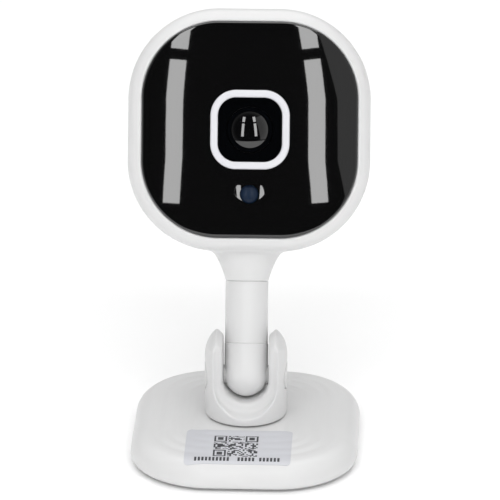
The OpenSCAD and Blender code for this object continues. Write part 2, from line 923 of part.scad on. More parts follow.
module board_spacers() {
    color("gold") in_head() at_posts() translate([0, 0, main_board_front])
        tube(post_d, screw_d + spacer_play, board_gap);
}

module board_screws() {
    color("silver") in_head() at_posts() translate([0, 0, main_board_back]) mirror([0, 0, 1])
        screw(screw_d, board_gap + 2 * board_t + board_screw_bite, board_screw_head_d,
            board_screw_head_t);
}

module processor() {
    color("black") behind_board(processor_at, processor_size);
}

module memory_chip() {
    color("black") behind_board(memory_at, memory_size);
}

module wifi_shield() {
    color("silver") behind_board(shield_at, shield_size);
}

// The antenna film lies on the flat top of the housing's cavity
cavity_flat = cavity_w - 2 * cavity_r;
antenna_t = 0.3;
antenna_depth = 6;
antenna_lead_d = 1.1;
lead_inset = 2;
lead_gap = 0.15;
lead_start_y = board_w / 2 - lead_inset;

module wifi_antenna() {
    color("orange") in_head()
        translate([-cavity_flat / 2, cavity_w / 2 - antenna_t, -antenna_depth / 2])
            cube([cavity_flat, antenna_t, antenna_depth]);
}

module antenna_lead() {
    color("black") in_head()
        translate([0, lead_start_y, main_board_back - lead_gap - antenna_lead_d / 2])
        rotate([-90, 0, 0])
            cylinder(d = antenna_lead_d, h = cavity_w / 2 - antenna_t - lead_start_y);
}

gasket_t = 0.5;
gasket_band = 1.5;
magnet_step = 3;
magnet_t = 1.2;

module speaker() {
    color("dimgray") in_head() translate([0, speaker_y, rear_inner + gasket_t]) {
        cylinder(d = speaker_d, h = speaker_t - magnet_t);
        cylinder(d = speaker_d - 2 * magnet_step, h = speaker_t);
    }
}

module speaker_gasket() {
    color("black") in_head() translate([0, speaker_y, rear_inner])
        tube(speaker_d, speaker_d - 2 * gasket_band, gasket_t);
}

mic_size = [3.2, 2.4, 1.1];
mic_boot_d = 4;

module microphone() {
    color("gold") behind_board([mic_x - mic_size.x / 2, -port_y - mic_size.y / 2], mic_size);
}

module mic_boot() {
    color("black") in_head() translate([mic_x, -port_y, rear_inner])
        tube(mic_boot_d, mic_hole_d, main_board_back - mic_size.z - rear_inner);
}

port_sink = 0.5;
port_back = rear_z + port_sink;
port_wall = 0.3;
port_mouth_h = 6;
port_tongue_t = 0.7;
port_tongue_side = 1.4;

module usb_port() {
    color("silver") in_head() translate([0, -port_y, port_back]) difference() {
        plain_plate(port_w, port_h, port_h / 2 - eps, main_board_back - port_back);
        difference() {
            translate([0, 0, -over])
                plain_plate(port_w - 2 * port_wall, port_h - 2 * port_wall,
                    port_h / 2 - port_wall - eps, port_mouth_h + over);
            translate([-port_w / 2 + port_tongue_side, -port_tongue_t / 2, -over])
                cube([port_w - 2 * port_tongue_side, port_tongue_t, port_mouth_h + over]);
        }
    }
}

card_socket_l = 14;
card_socket_t = 2;
card_socket_wall = 0.8;
card_socket_skin = 0.4;
card_socket_end = 1;
card_socket_proud = 1;
card_mouth_x = board_w / 2 + card_socket_proud;

module card_socket() {
    color("silver") in_head()
        translate([card_mouth_x - card_socket_l, -card_slot_w / 2 - card_socket_wall,
            main_board_back - card_socket_t])
            difference() {
                cube([card_socket_l, card_slot_w + 2 * card_socket_wall, card_socket_t]);
                translate([card_socket_end, card_socket_wall, card_socket_skin])
                    cube([card_socket_l, card_slot_w, card_socket_t - 2 * card_socket_skin]);
            }
}

switch_size = [4.4, 4.4, 2.9];

module reset_switch() {
    color("black") behind_board([button_x - switch_size.x / 2, -port_y - switch_size.y / 2],
        switch_size);
}

// Sliding button, its flange inside the rear cover
button_proud = 0.2;
button_play = 0.2;
flange_gap = 0.05;
button_flange_rim = 0.6;
button_flange_t = 0.6;

module reset_button() {
    back = rear_z - button_proud;
    front = main_board_back - switch_size.z - button_travel - button_play;
    color("white") in_head() translate([button_x, -port_y, 0]) {
        translate([0, 0, back]) cylinder(d = button_d, h = front - back);
        translate([0, 0, rear_inner + flange_gap])
            cylinder(d = button_d + 2 * button_flange_rim, h = button_flange_t);
    }
}

foot_pad();
base_plate();
base_cover();
id_label();
yoke();
swivel_spring();
swivel_washer();
swivel_screw();
pivot_screw();
pivot_nut();
pivot_caps();
knuckle();
friction_washers();
stem();
pan_spring();
pan_washer();
pan_screw();
front_housing();
rear_cover();
front_panel();
lens_ring();
lens_surround();
lens_barrel();
front_lens();
middle_lens();
rear_lens();
lens_holder();
ir_filter();
image_sensor();
main_board();
led_board();
ir_leds();
status_led();
sensor_window();
light_sensor();
board_connector();
board_spacers();
board_screws();
processor();
memory_chip();
wifi_shield();
wifi_antenna();
antenna_lead();
speaker();
speaker_gasket();
microphone();
mic_boot();
usb_port();
card_socket();
reset_switch();
reset_button();
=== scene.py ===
"""Small indoor security camera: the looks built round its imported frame.

Lengths are in metres, +Z is up and -Y is the front. Each piece is modelled about its own
middle and then set into the place that the frame gives.
"""

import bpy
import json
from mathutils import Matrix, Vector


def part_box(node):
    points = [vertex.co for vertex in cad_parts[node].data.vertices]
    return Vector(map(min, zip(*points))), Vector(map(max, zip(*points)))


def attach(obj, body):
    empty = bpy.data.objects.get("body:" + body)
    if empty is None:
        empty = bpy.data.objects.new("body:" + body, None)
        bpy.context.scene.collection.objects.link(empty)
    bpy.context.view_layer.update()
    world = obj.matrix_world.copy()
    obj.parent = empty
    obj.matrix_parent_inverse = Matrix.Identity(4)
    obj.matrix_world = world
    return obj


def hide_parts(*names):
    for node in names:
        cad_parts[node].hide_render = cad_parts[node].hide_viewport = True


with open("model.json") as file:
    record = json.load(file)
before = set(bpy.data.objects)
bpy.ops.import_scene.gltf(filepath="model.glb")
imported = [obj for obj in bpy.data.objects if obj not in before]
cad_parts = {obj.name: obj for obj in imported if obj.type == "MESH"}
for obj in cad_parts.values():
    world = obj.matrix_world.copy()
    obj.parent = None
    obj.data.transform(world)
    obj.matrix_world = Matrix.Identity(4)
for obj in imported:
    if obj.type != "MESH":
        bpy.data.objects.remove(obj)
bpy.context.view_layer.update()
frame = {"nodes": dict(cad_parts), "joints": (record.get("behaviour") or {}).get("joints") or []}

import json
import math

import bmesh
import bpy
from mathutils import Matrix, Vector

bl_info = {
    "name": "Small security camera",
    "version": (1, 0, 0),
    "blender": (4, 5, 0),
    "location": "3D View > Sidebar > Security camera",
    "description": "Models and finishes a small indoor security camera round its frame",
    "category": "Object",
}

MM = 0.001
UP = Vector((0, 0, 1))
TURN_STEPS = 128
WELD = 0.0005 * MM
SHARP_ANGLE = math.radians(32)
# Cuts across the panel's face each way from its middle, for even shading
FACE_CUTS = 7
# Distance of every softbox from the head, in metres
LIGHT_DISTANCE = 2.0

# ---- Places, read from the frame's joints ----
JOINTS = {joint["name"]: joint for joint in frame["joints"]}
HINGE = Vector(JOINTS["arm_tilt"]["pos_m"])
SIDE = Vector(JOINTS["arm_tilt"]["axis"]).normalized()
STEM_AXIS = Vector(JOINTS["head_pan"]["axis"]).normalized()
FORWARD = Vector(JOINTS["reset_press"]["axis"]).normalized()
HEAD_SIDE = STEM_AXIS.cross(FORWARD)


def place_of(x_axis, y_axis, z_axis, origin):
    """The matrix of a place with these three axes and this origin."""
    place = Matrix((x_axis, y_axis, z_axis)).transposed().to_4x4()
    place.translation = origin
    return place


def box_in(place, node):
    """Lowest and highest corner of a frame node in a place's own axes."""
    to_place = place.inverted()
    points = [to_place @ vertex.co for vertex in frame["nodes"][node].data.vertices]
    lowest = Vector([min(point[axis] for point in points) for axis in range(3)])
    highest = Vector([max(point[axis] for point in points) for axis in range(3)])
    return lowest, highest


BASE = Matrix.Identity(4)
ARM = place_of(SIDE, STEM_AXIS.cross(SIDE), STEM_AXIS, HINGE)
NECK = place_of(HEAD_SIDE, -FORWARD, STEM_AXIS, HINGE)
REAR_LOW, REAR_HIGH = box_in(ARM, "rear_cover")
HEAD_MIDDLE = (REAR_LOW.z + REAR_HIGH.z) / 2
HEAD = place_of(HEAD_SIDE, STEM_AXIS, FORWARD, HINGE + STEM_AXIS * HEAD_MIDDLE)


# ---- Settings ----
def length(name, description, default_mm):
    """A length that the user can change, given in millimetres."""
    return bpy.props.FloatProperty(
        name=name, description=description, default=default_mm * MM, min=0, precision=5,
        subtype="DISTANCE", unit="LENGTH")


def colour(name, description, hex_code):
    """A colour that the user can change, given as an sRGB hex value."""
    return bpy.props.FloatVectorProperty(
        name=name, description=description, default=srgb(hex_code)[:3], min=0, max=1, size=3,
        subtype="COLOR")


def strength(name, description, default):
    """A brightness, where 1 is a white surface in the picture."""
    return bpy.props.FloatProperty(name=name, description=description, default=default, min=0)


def angle(name, description, degrees):
    """An angle that the user can change, given in degrees."""
    return bpy.props.FloatProperty(
        name=name, description=description, default=math.radians(degrees), subtype="ANGLE",
        unit="ROTATION")


def srgb(hex_code):
    """The linear colour of an sRGB hex value."""
    parts = [int(hex_code[start:start + 2], 16) / 255 for start in (1, 3, 5)]
    return tuple(p / 12.92 if p <= 0.04045 else ((p + 0.055) / 1.055) ** 2.4 for p in parts) + (1,)


def opaque(shade):
    """A colour with full alpha, as the shader nodes take it."""
    return tuple(shade)[:3] + (1,)


class BaseSettings(bpy.types.PropertyGroup):
    corner: length("Corner", "Corner radius of the base seen from above", 18.6)
    edge: length("Edge", "Radius of the base's round top edge", 4.4)
    foot: length("Foot", "Radius of the base's round bottom edge", 1.6)
    crown: length("Crown", "Radius of the gentle fall of the base's top", 130)
    wall: length("Wall", "Wall of the base cover", 1.8)
    ripple_pitch: length("Ripple pitch", "Distance between the shallow rings on the top", 3.1)
    ripple_depth: length("Ripple depth", "Depth of the shallow rings on the top", 0.14)
    label_width: length("Label width", "Width of the identification label", 24.2)
    label_length: length("Label length", "Length of the label, over the front edge", 16)
    label_corner: length("Label corner", "Corner radius of the label", 1.1)
    label_film: length("Label film", "Thickness of the label", 0.12)


class HeadSettings(bpy.types.PropertyGroup):
    corner: length("Corner", "Corner radius of the head", 20.8)
    edge: length("Edge", "Radius of the housing's front edge", 3.4)
    wall: length("Wall", "Wall of the housing", 1.8)
    lip: length("Lip", "Depth of the lip round the panel", 1.9)
    fit: length("Fit", "Gap between the panel and the lip", 0.1)
    neck_curve: length("Neck curve", "Radius of the neck's hollow curve", 19)
    neck_start: angle("Neck start", "Flare of the neck where it leaves the stem", 13)
    neck_depth: bpy.props.FloatProperty(
        name="Neck depth", description="Depth of the neck's top over its width", default=0.78)
    slot_width: length("Card slot width", "Width of the card slot in the side wall", 12)
    slot_height: length("Card slot height", "Height of the card slot in the side wall", 1.6)
    panel_width: length("Panel width", "Width of the glossy panel", 49.3)
    panel_corner: length("Panel corner", "Corner radius of the glossy panel", 17.6)
    panel_rim: length("Panel rim", "Width of the panel's foot round its hollow back", 2.5)
    panel_crown: length("Panel crown", "Radius of the panel's bulge towards its rim", 90)
    panel_edge: length("Panel edge", "Radius of the panel's round edge", 0.5)
    ring_corner: length("Ring corner", "Corner radius of the ring round the lens", 5.9)
    ring_band: length("Ring band", "Width of the ring's band", 1.7)
    ring_edge: length("Ring edge", "Radius of the ring's two front edges", 0.5)
    crest: length("Crest", "Radius of the housing's crest beside the panel", 0.5)
    dish: length("Sensor dish", "Diameter of the dish round the light sensor", 6.8)
    dish_depth: length("Dish depth", "Depth of the dish round the light sensor", 0.15)
    lens_sink: length("Lens sink", "Depth of the front lens's rim in the barrel", 0.2)
    lens_bulge: length("Lens bulge", "Radius of the front lens's bulge", 13)


class FinishSettings(bpy.types.PropertyGroup):
    shell: colour("Shell", "White of the moulded shell", "#dfdfdf")
    ring: colour("Ring", "White of the glossy ring round the lens", "#e2e2e6")
    panel: colour("Panel", "Black of the glossy front panel", "#060606")
    surround: colour("Surround", "Colour round the lens, inside the ring", "#030406")
    sensor: colour("Sensor", "Blue of the light sensor's window", "#122338")
    label: colour("Label", "Ground colour of the label", "#cacbd0")
    print: colour("Print", "Colour of the marks on the label", "#23242b")


class StageSettings(bpy.types.PropertyGroup):
    distance: length("Distance", "Distance of the camera from the base", 1220)
    azimuth: angle("Azimuth", "How far the camera stands to the right of the front", 2.56)
    elevation: angle("Elevation", "How far the camera looks down", 23.9)
    aim_height: length("Aim height", "Height of the point that the camera looks at", 47.7)
    aim_side: length("Aim side", "How far that point lies to the right of the base", 0.9)
    lens: bpy.props.FloatProperty(
        name="Lens", description="Focal length of the camera", default=379.4, unit="CAMERA")
    strips: strength("Strips", "Brightness of the upright softboxes beside the camera", 5)
    fill: strength("Fill", "Brightness of the low softbox in front", 2.6)
    upper: strength("Upper fill", "Brightness of the high softbox in front", 3.3)
    wall: strength("Wall", "Brightness of the wall at the right, seen in the gloss", 0.4)
    sides: strength("Sides", "Brightness of the softboxes at the left and right", 0.5)
    top: strength("Top", "Brightness of the softbox overhead", 1.6)
    glow: strength("Floor glow", "Light that the floor gives off by itself", 0.05)
    room: strength("Room", "Brightness of the room outside the camera's own side", 0.38)
    dark: strength("Dark", "Brightness of the room behind the camera", 0.03)


def settings():
    """The four groups of settings on the scene."""
    scene = bpy.context.scene
    return scene.security_base, scene.security_head, scene.security_finish, scene.security_stage


# ---- Modelling by hand ----
def select_only(piece):
    """Makes a piece the only selected and active one."""
    if bpy.context.object and bpy.context.object.mode != "OBJECT":
        bpy.ops.object.mode_set(mode="OBJECT")
    bpy.ops.object.select_all(action="DESELECT")
    if piece:
        piece.select_set(True)
        bpy.context.view_layer.objects.active = piece


def pick(piece, wanted):
    """Selects, in edit mode, the vertices whose position passes the test."""
    mesh = bmesh.from_edit_mesh(piece.data)
    to_world = piece.matrix_world
    for vertex in mesh.verts:
        vertex.select_set(bool(wanted(to_world @ vertex.co)))
    mesh.select_flush_mode()
    bmesh.update_edit_mesh(piece.data)


def arc(middle, radius, start, end, steps):
    """Points on an arc in the outline's plane: (distance from the axis, height)."""
    angles = [start + (end - start) * step / steps for step in range(steps + 1)]
    return [(middle[0] + radius * math.cos(a), middle[1] + radius * math.sin(a)) for a in angles]


def turned(name, outline, steps=TURN_STEPS, spread=(0, 0), closed=False):
    """Draws an outline point by point, spins it round the height axis and spreads its four
    sides, which turns round corners into a rounded square."""
    phase = math.pi / steps
    outward = Vector((math.cos(phase), math.sin(phase), 0)) / math.cos(phase)
    points = [outward * max(radius, 0) + UP * height for radius, height in outline]
    if closed:
        points.append(points[0])
    select_only(None)
    bpy.ops.mesh.primitive_plane_add(size=MM, location=points[0])
    piece = bpy.context.object
    piece.name = piece.data.name = name
    bpy.ops.object.mode_set(mode="EDIT")
    bpy.ops.mesh.merge(type="CENTER")
    for before, after in zip(points, points[1:]):
        bpy.ops.mesh.extrude_vertices_move(TRANSFORM_OT_translate={"value": after - before})
    bpy.ops.mesh.select_all(action="SELECT")
    bpy.ops.mesh.spin(steps=steps, angle=2 * math.pi, center=(0, 0, 0), axis=UP)
    bpy.ops.mesh.select_all(action="SELECT")
    bpy.ops.mesh.remove_doubles(threshold=WELD)
    for axis, reach in enumerate(spread):
        for sign in (-1, 1):
            pick(piece, lambda point: point[axis] * sign > WELD)
            move = Vector((0, 0, 0))
            move[axis] = sign * reach
            bpy.ops.transform.translate(value=move)
    bpy.ops.mesh.select_all(action="SELECT")
    bpy.ops.mesh.normals_make_consistent(inside=False)
    bpy.ops.object.mode_set(mode="OBJECT")
    return piece


def set_in(piece, place):
    """Sets a piece modelled about the origin into its place, with the place in its mesh."""
    select_only(piece)
    piece.matrix_world = place @ piece.matrix_world
    bpy.ops.object.transform_apply(location=True, rotation=True, scale=True)


def apply_modifier(piece, kind, **values):
    """Adds a modifier with these values and applies it."""
    select_only(piece)
    modifier = piece.modifiers.new(kind.title(), kind)
    for name, value in values.items():
        setattr(modifier, name, value)
    bpy.ops.object.modifier_apply(modifier=modifier.name)


def combine(piece, tool, operation):
    """Cuts a tool piece out of a piece or joins it to the piece, and removes the tool."""
    apply_modifier(piece, "BOOLEAN", object=tool, operation=operation, solver="EXACT")
    bpy.data.objects.remove(tool)


def smooth(piece, sharp=SHARP_ANGLE):
    """Shades a piece smooth, apart from its sharp edges."""
    select_only(piece)
    bpy.ops.object.shade_smooth_by_angle(angle=sharp)


def finish_piece(piece, body, slot, material, *stands_for):
    """Gives a piece its material and its body, and hides the frame nodes that it stands for. The slot
    argument is not used.
    """
    piece.data.materials.clear()
    piece.data.materials.append(material)
    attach(piece, body)
    if stands_for:
        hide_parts(*stands_for)


def crowned(radius, top, crown, edge, steps):
    """Outline of a plate's outside from its side, over the round edge, to the middle of its
    gently falling top."""
    edge_x = radius - edge
    edge_z = top - crown + math.sqrt((crown - edge) ** 2 - edge_x ** 2)
    lean = math.asin(edge_x / (crown - edge))
    upright = math.pi / 2
    rim = arc((edge_x, edge_z), edge, 0, upright - lean, 12)
    dome = arc((0, top - crown), crown, upright - lean, upright, steps)
    return rim + dome[1:]


# ---- Materials ----
def add_node(tree, kind, values=None, links=None):
    """Adds a node, sets its values and sockets, and links its sockets to what feeds them."""
    node = tree.nodes.new("ShaderNode" + kind)
    for name, value in (values or {}).items():
        if isinstance(name, int) or name in node.inputs:
            node.inputs[name].default_value = value
        else:
            setattr(node, name, value)
    for name, source in (links or {}).items():
        tree.links.new(source, node.inputs[name])
    return node


def maths(tree, operation, *sources):
    """The result of a Math node. Each source is a number or the socket that feeds it."""
    numbers = {at: source for at, source in enumerate(sources) if isinstance(source, (int, float))}
    sockets = {at: source for at, source in enumerate(sources) if at not in numbers}
    return add_node(tree, "Math", {"operation": operation, **numbers}, sockets).outputs[0]


def start_material(name, values):
    """A new material: its node tree, its shader and the position on the object."""
    material = bpy.data.materials.new(name)
    material.use_nodes = True
    tree = material.node_tree
    tree.nodes.clear()
    shader = add_node(tree, "BsdfPrincipled", values)
    add_node(tree, "OutputMaterial", links={"Surface": shader.outputs["BSDF"]})
    return material, tree, shader, add_node(tree, "TexCoord").outputs["Object"]


def moulded_plastic(name, shade, deeper, roughness, grain, relief, drift=14, **more):
    """Injection-moulded plastic. The tool's spark-eroded grain breaks the highlight a little,
    and the resin's flow lets the tone drift slowly over a few centimetres."""
    material, tree, shader, position = start_material(name, {"IOR": 1.53, **more})
    fine = add_node(tree, "TexNoise", {"Scale": 1 / (grain * MM), "Detail": 3, "Roughness": 0.6},
                    {"Vector": position})
    slow = add_node(tree, "TexNoise", {"Scale": 1 / (drift * MM), "Detail": 2}, {"Vector": position})
    tone = add_node(tree, "Mix", {"data_type": "RGBA", 6: opaque(shade), 7: deeper},
                    {0: slow.outputs["Fac"]})
    polish = add_node(tree, "MapRange", {"To Min": roughness * 0.85, "To Max": roughness * 1.15},
                      {"Value": fine.outputs["Fac"]})
    bump = add_node(tree, "Bump", {"Strength": relief, "Distance": grain * MM / 4},
                    {"Height": fine.outputs["Fac"]})
    tree.links.new(tone.outputs[2], shader.inputs["Base Color"])
    tree.links.new(polish.outputs["Result"], shader.inputs["Roughness"])
    tree.links.new(bump.outputs["Normal"], shader.inputs["Normal"])
    return material


def worked_metal(name, shade, deeper, roughness, grain):
    """Turned, stamped or plated metal, with fine drawn marks along one way."""
    material, tree, shader, position = start_material(name, {"Metallic": 1})
    drawn = add_node(tree, "Mapping", {"Scale": (1, 1, 0.08)}, {"Vector": position})
    marks = add_node(tree, "TexNoise", {"Scale": 1 / (grain * MM), "Detail": 4},
                     {"Vector": drawn.outputs["Vector"]})
    tone = add_node(tree, "Mix", {"data_type": "RGBA", 6: shade, 7: deeper},
                    {0: marks.outputs["Fac"]})
    polish = add_node(tree, "MapRange", {"To Min": roughness * 0.7, "To Max": roughness * 1.3},
                      {"Value": marks.outputs["Fac"]})
    tree.links.new(tone.outputs[2], shader.inputs["Base Color"])
    tree.links.new(polish.outputs["Result"], shader.inputs["Roughness"])
    return material


def coated_glass(name, shade, rim, roughness=0.02):
    """Ground and polished glass with an anti-reflective coat, seen against the dark barrel:
    near black from the front. Where the surface turns away from the camera the base colour lightens to
    the rim colour, a painted sheen for the coat's tinted reflection."""
    material, tree, shader, position = start_material(
        name, {"IOR": 1.65, "Coat Weight": 0.6, "Coat Roughness": 0.02, "Coat IOR": 1.5})
    # Painted sheen: the base colour lightens towards the rim colour as the surface turns away from the
    # camera
    painted_sheen_weight = add_node(tree, "LayerWeight", {"Blend": 0.35})
    dust = add_node(tree, "TexNoise", {"Scale": 1 / (0.8 * MM), "Detail": 2}, {"Vector": position})
    tone = add_node(tree, "Mix", {"data_type": "RGBA", 6: shade, 7: rim},
                    {0: painted_sheen_weight.outputs["Facing"]})
    polish = add_node(tree, "MapRange", {"To Min": roughness, "To Max": roughness * 2},
                      {"Value": dust.outputs["Fac"]})
    tree.links.new(tone.outputs[2], shader.inputs["Base Color"])
    tree.links.new(polish.outputs["Result"], shader.inputs["Roughness"])
    return material


def printed_label(middle, width, film, ink):
    """Polyester label film with thermal-transfer print: a square of blocks with three corner
    marks and one row of short bars. The blocks are a seeded pattern and hold no message."""
    material, tree, shader, position = start_material(
        "printed_polyester_label", {"Roughness": 0.34, "IOR": 1.57})
    # Sizes of the print: the code square counts in blocks, the row of bars in millimetres
    block = 0.42 * MM
    half = 12
    square_x, square_y = middle[0] - 0.6 * MM, middle[1] - 0.2 * MM
    mark_half, mark_clear, mark_range = 3.5, 4.2, 8
    row_y, row_half = middle[1] - 6.4 * MM, 0.75 * MM
    row_reach, bar_pitch, bar_share, blank_share = width * 0.41, 0.82 * MM, 0.62, 0.1
    corner = (square_x - half * block, square_y - half * block, 0)
    flat = add_node(tree, "VectorMath", {"operation": "MULTIPLY", 1: (1, 1, 0)}, {0: position})
    moved = add_node(tree, "VectorMath", {"operation": "SUBTRACT", 1: corner},
                     {0: flat.outputs[0]})
    grid = add_node(tree, "VectorMath", {"operation": "DIVIDE", 1: (block, block, 1)},
                    {0: moved.outputs[0]})
    cell = add_node(tree, "VectorMath", {"operation": "FLOOR"}, {0: grid.outputs[0]})
    chance = add_node(tree, "TexWhiteNoise", {"noise_dimensions": "3D"}, {"Vector": cell.outputs[0]})
    blocks = maths(tree, "GREATER_THAN", chance.outputs["Value"], 0.5)
    # Distance from the middle of the square, folded onto its corners for the corner marks
    centred = add_node(tree, "VectorMath", {"operation": "SUBTRACT", 1: (half, half, 0)},
                       {0: grid.outputs[0]})
    folded = add_node(tree, "VectorMath", {"operation": "ABSOLUTE"}, {0: centred.outputs[0]})
    reach = add_node(tree, "SeparateXYZ", links={0: folded.outputs[0]})
    outermost = maths(tree, "MAXIMUM", reach.outputs[0], reach.outputs[1])
    inside = maths(tree, "LESS_THAN", outermost, half)
    mark_at = half - mark_half
    at_mark = add_node(tree, "VectorMath", {"operation": "SUBTRACT", 1: (mark_at, mark_at, 0)},
                       {0: folded.outputs[0]})
    off_mark = add_node(tree, "VectorMath", {"operation": "ABSOLUTE"}, {0: at_mark.outputs[0]})
    off_parts = add_node(tree, "SeparateXYZ", links={0: off_mark.outputs[0]})
    off = maths(tree, "MAXIMUM", off_parts.outputs[0], off_parts.outputs[1])
    mark = add_node(tree, "ValToRGB", links={0: maths(tree, "DIVIDE", off, mark_range)})
    mark.color_ramp.interpolation = "CONSTANT"
    for place, value in ((mark_half - 2, 0), (mark_half - 1, 1), (mark_half, 0)):
        mark.color_ramp.elements.new(place / mark_range).color = (value, value, value, 1)
    mark.color_ramp.elements[0].color = (1, 1, 1, 1)
    mark.color_ramp.elements[-1].color = (0, 0, 0, 1)
    # Marks stand in three corners of the square. The lower right one has none.
    side = add_node(tree, "SeparateXYZ", links={0: centred.outputs[0]})
    right = maths(tree, "GREATER_THAN", side.outputs[0], 0)
    below = maths(tree, "LESS_THAN", side.outputs[1], 0)
    three = maths(tree, "SUBTRACT", 1, maths(tree, "MULTIPLY", right, below))
    use_mark = maths(tree, "MULTIPLY", maths(tree, "LESS_THAN", off, mark_clear), three)
    code = add_node(tree, "Mix", links={0: use_mark, 2: blocks, 3: mark.outputs[0]})
    square = maths(tree, "MULTIPLY", inside, code.outputs[0])
    # One row of short bars under the square
    parts = add_node(tree, "SeparateXYZ", links={0: position})
    height = maths(tree, "COMPARE", parts.outputs[1], row_y, row_half)
    extent = maths(tree, "COMPARE", parts.outputs[0], middle[0], row_reach)
    along = maths(tree, "DIVIDE", parts.outputs[0], bar_pitch)
    bar = maths(tree, "LESS_THAN", maths(tree, "FRACT", along), bar_share)
    number = maths(tree, "FLOOR", along)
    chance = add_node(tree, "TexWhiteNoise", {"noise_dimensions": "1D"}, {"W": number})
    present = maths(tree, "GREATER_THAN", chance.outputs["Value"], blank_share)
    row = maths(tree, "MULTIPLY", height, extent)
    line = maths(tree, "MULTIPLY", row, maths(tree, "MULTIPLY", bar, present))
    printed = maths(tree, "MAXIMUM", square, line)
    tone = add_node(tree, "Mix", {"data_type": "RGBA", 6: opaque(film), 7: opaque(ink)},
                    {0: printed})
    tree.links.new(tone.outputs[2], shader.inputs["Base Color"])
    return material


def circuit_board():
    """Glass-fibre board under green solder resist, with faint copper runs below it."""
    material, tree, shader, position = start_material(
        "solder_masked_board", {"Roughness": 0.35, "IOR": 1.5})
    runs = add_node(tree, "TexBrick", {"Scale": 1 / (4 * MM), "Color1": srgb("#0d4a26"),
                                       "Color2": srgb("#115a30"), "Mortar": srgb("#1c7a45")},
                    {"Vector": position})
    tree.links.new(runs.outputs["Color"], shader.inputs["Base Color"])
    return material


def make_materials():
    """All of the object's materials by the record's slot, made once."""
    finish = settings()[2]
    base = settings()[0]
    label_low, label_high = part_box("id_label")
    middle = ((label_low.x + label_high.x) / 2, label_high.y - base.label_length / 2)
    return {
        # ABS shell, moulded in a finely textured tool: a broad soft sheen
        "white_abs": moulded_plastic("textured_white_abs", finish.shell, srgb("#dadada"),
                                     0.36, 0.22, 0.1),
        # ABS trim from a polished tool: a tighter highlight and a whiter edge
        "white_gloss": moulded_plastic("polished_white_abs", finish.ring, srgb("#dedee3"),
                                       0.2, 0.5, 0.03),
        # Smoked acrylic, hard-coated: mirror-like, with the faintest waviness
        "black_gloss": moulded_plastic("smoked_acrylic", finish.panel, srgb("#040405"), 0.03, 6, 0.003,
                                       **{"IOR": 1.5, "Coat Weight": 1, "Coat Roughness": 0.03,
                                          "Coat IOR": 1.5}),
        # Polished black polycarbonate round the lens: as dark as the panel, a little softer
        "black_trim": moulded_plastic("polished_black_polycarbonate", finish.surround,
                                      srgb("#020305"), 0.06, 0.4, 0.004, **{"IOR": 1.38}),
        # Matt black polycarbonate of the lens holder, the reset button and the antenna lead: no
        # reflections into the lens
        "dark_plastic": moulded_plastic("matt_black_polycarbonate", finish.surround, srgb("#020306"),
                                        0.42, 0.15, 0.2),
        # Ground glass lenses with an anti-reflective coat: sharp, dim reflections over black, and a
        # painted sheen towards the edge of the view
        "lens_glass": coated_glass("coated_lens_glass", srgb("#020203"), srgb("#0a0c12")),
        # Dyed glass that stops infrared: a dark red where it shows at all, with a lighter red painted
        # sheen towards the edge of the view
        "filter_glass": coated_glass("infrared_filter_glass", srgb("#3a1012"), srgb("#5a2030")),
        # Deep blue tinted polycarbonate that passes infrared: a dark satin window
        "blue_window": moulded_plastic("blue_tinted_polycarbonate", finish.sensor, srgb("#0e1e33"),
                                       0.3, 0.5, 0.02, **{"IOR": 1.3}),
        # Silvery polyester film with a thermal print: a soft sheen round sharp dark marks
        "label_film": printed_label(middle, base.label_width, finish.label, finish.print),
        # Self-adhesive foam rubber: matt and slightly open
        "pad_rubber": moulded_plastic("foam_rubber_pad", srgb("#2b2b2d"), srgb("#232325"),
                                      0.8, 0.5, 0.6),
        # Stamped steel under a thin zinc plate: bluish grey with fine drawn marks
        "plated_steel": worked_metal("zinc_plated_steel", srgb("#b9bcc0"), srgb("#9a9da2"), 0.3, 0.2),
        # Free-cutting brass, turned: warm, with fine tool rings
        "brass": worked_metal("turned_brass", srgb("#c9a45c"), srgb("#a98545"), 0.28, 0.2),
        # Moulded nylon of the connector: off-white and slightly waxy
        "nylon": moulded_plastic("natural_nylon", srgb("#e4e3df"), srgb("#d8d7d2"), 0.45, 0.3, 0.2),
        # Glass-filled nylon of the friction washers: pale grey, dry and faintly mottled
        "filled_nylon": moulded_plastic("glass_filled_nylon", srgb("#b9b9b9"), srgb("#adadad"),
                                        0.5, 0.2, 0.3),
        # Silica-filled epoxy moulded round the chips: charcoal and finely matt
        "chip": moulded_plastic("epoxy_chip_package", srgb("#1a1b1d"), srgb("#141517"),
                                0.5, 0.12, 0.3),
        # Glass-fibre board under green solder resist: satin, with the runs faintly raised in tone
        "board": circuit_board(),
        # Epoxy cast over the LEDs: pale yellow and shiny
        "led_resin": moulded_plastic("clear_epoxy_led", srgb("#efe9c8"), srgb("#e2dab0"),
                                     0.15, 0.6, 0.05),
        # Amber polyimide film that carries the antenna's copper
        "antenna_film": moulded_plastic("polyimide_film", srgb("#8a4b14"), srgb("#7a4010"),
                                        0.3, 0.8, 0.1),
        # Deep-drawn steel basket of the speaker: dull grey
        "speaker_frame": worked_metal("stamped_speaker_frame", srgb("#8d8f93"), srgb("#74767a"),
                                      0.42, 0.3),
        # Die-cut foam that seals the speaker: almost black and very matt
        "foam": moulded_plastic("open_cell_foam", srgb("#303033"), srgb("#232326"), 0.9, 0.4, 0.9),
    }


MATERIALS = {}


